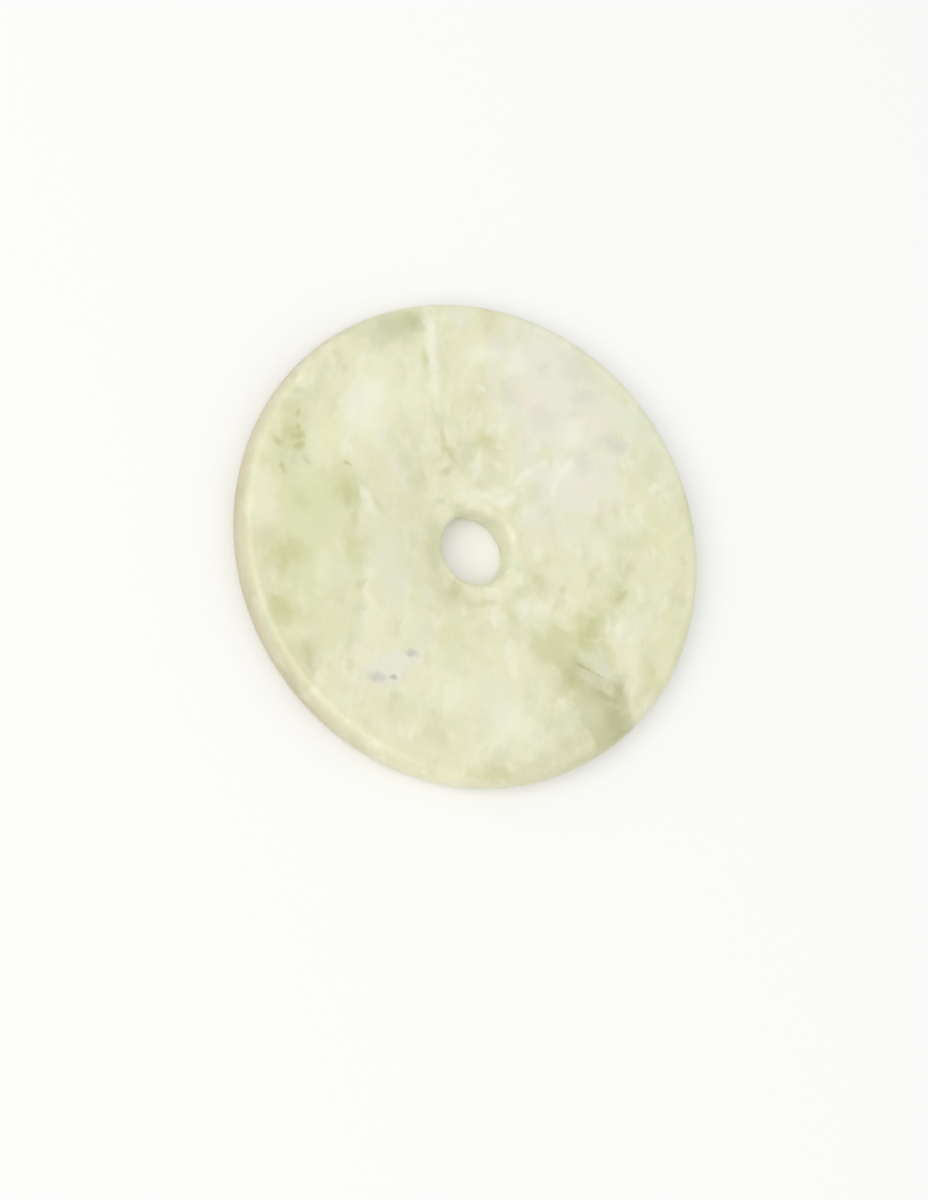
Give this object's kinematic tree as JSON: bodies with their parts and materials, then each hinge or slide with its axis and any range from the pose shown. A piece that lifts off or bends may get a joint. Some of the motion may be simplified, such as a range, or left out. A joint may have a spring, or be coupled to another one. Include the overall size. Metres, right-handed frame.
{
  "type": "jade donut",
  "caption": "Flat round disc of pale green serpentine jade with softened edges and a small round hole near its middle for a cord, worn as a pendant or kept as an ornament.",
  "frame": {"origin": "on the resting plane, under the middle of the disc's round outline", "axes": "+Z is the disc's axis, up out of the front face; +X is to the right and +Y is up as the front face shows in the picture"},
  "size_m": [0.05, 0.05, 0.0038],
  "materials": {
    "jade": "pale celadon serpentine jade with milky clouds, olive flecks and a grey-green bruise, polished to a waxy satin"
  },
  "bodies": {
    "root": {"jade_disc": "jade"}
  },
  "joints": []
}
